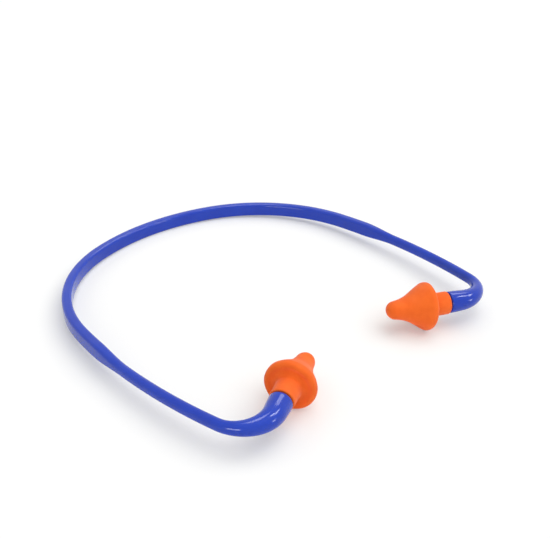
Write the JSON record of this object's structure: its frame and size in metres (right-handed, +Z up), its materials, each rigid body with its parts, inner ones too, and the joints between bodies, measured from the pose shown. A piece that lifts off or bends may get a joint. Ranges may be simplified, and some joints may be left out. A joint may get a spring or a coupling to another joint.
{
  "type": "banded ear plugs",
  "caption": "Sprung U-shaped plastic headband with flanged, tapered foam pods pushed on the pegs of its inturned ends, worn under the chin or behind the head to block noise.",
  "frame": {"origin": "centre of the part's box at the level of the surface it rests on", "axes": "+X to the right arm, -Y to the open end with the pods, +Z up from the surface"},
  "size_m": [0.1468, 0.1422, 0.0184],
  "materials": {
    "band_plastic": "glossy moulded blue plastic",
    "pod_foam": "matt orange skinned foam"
  },
  "bodies": {
    "bow": {"band_bow": "band_plastic"},
    "left_arm": {"left_arm": "band_plastic"},
    "right_arm": {"right_arm": "band_plastic"},
    "left_pod": {"left_pod": "pod_foam"},
    "right_pod": {"right_pod": "pod_foam"}
  },
  "joints": [
    {"name": "left_arm_flex", "type": "hinge", "parent": "bow", "child": "left_arm", "pos_m": [-0.05254, 0.04957, 0.00392], "axis": [0, -0.0481, -0.9988], "range_deg": [-4, 30], "stiffness_Nm_per_rad": 0.7},
    {"name": "right_arm_flex", "type": "hinge", "parent": "bow", "child": "right_arm", "pos_m": [0.05254, 0.04957, 0.00392], "axis": [0, 0.0481, 0.9988], "range_deg": [-4, 30], "stiffness_Nm_per_rad": 0.7},
    {"name": "left_pod_pull", "type": "slide", "parent": "left_arm", "child": "left_pod", "axis": [0.8923, 0.4509, -0.0217], "range_m": [0, 0.012]},
    {"name": "right_pod_pull", "type": "slide", "parent": "right_arm", "child": "right_pod", "axis": [-0.8923, 0.4509, -0.0217], "range_m": [0, 0.012]}
  ]
}
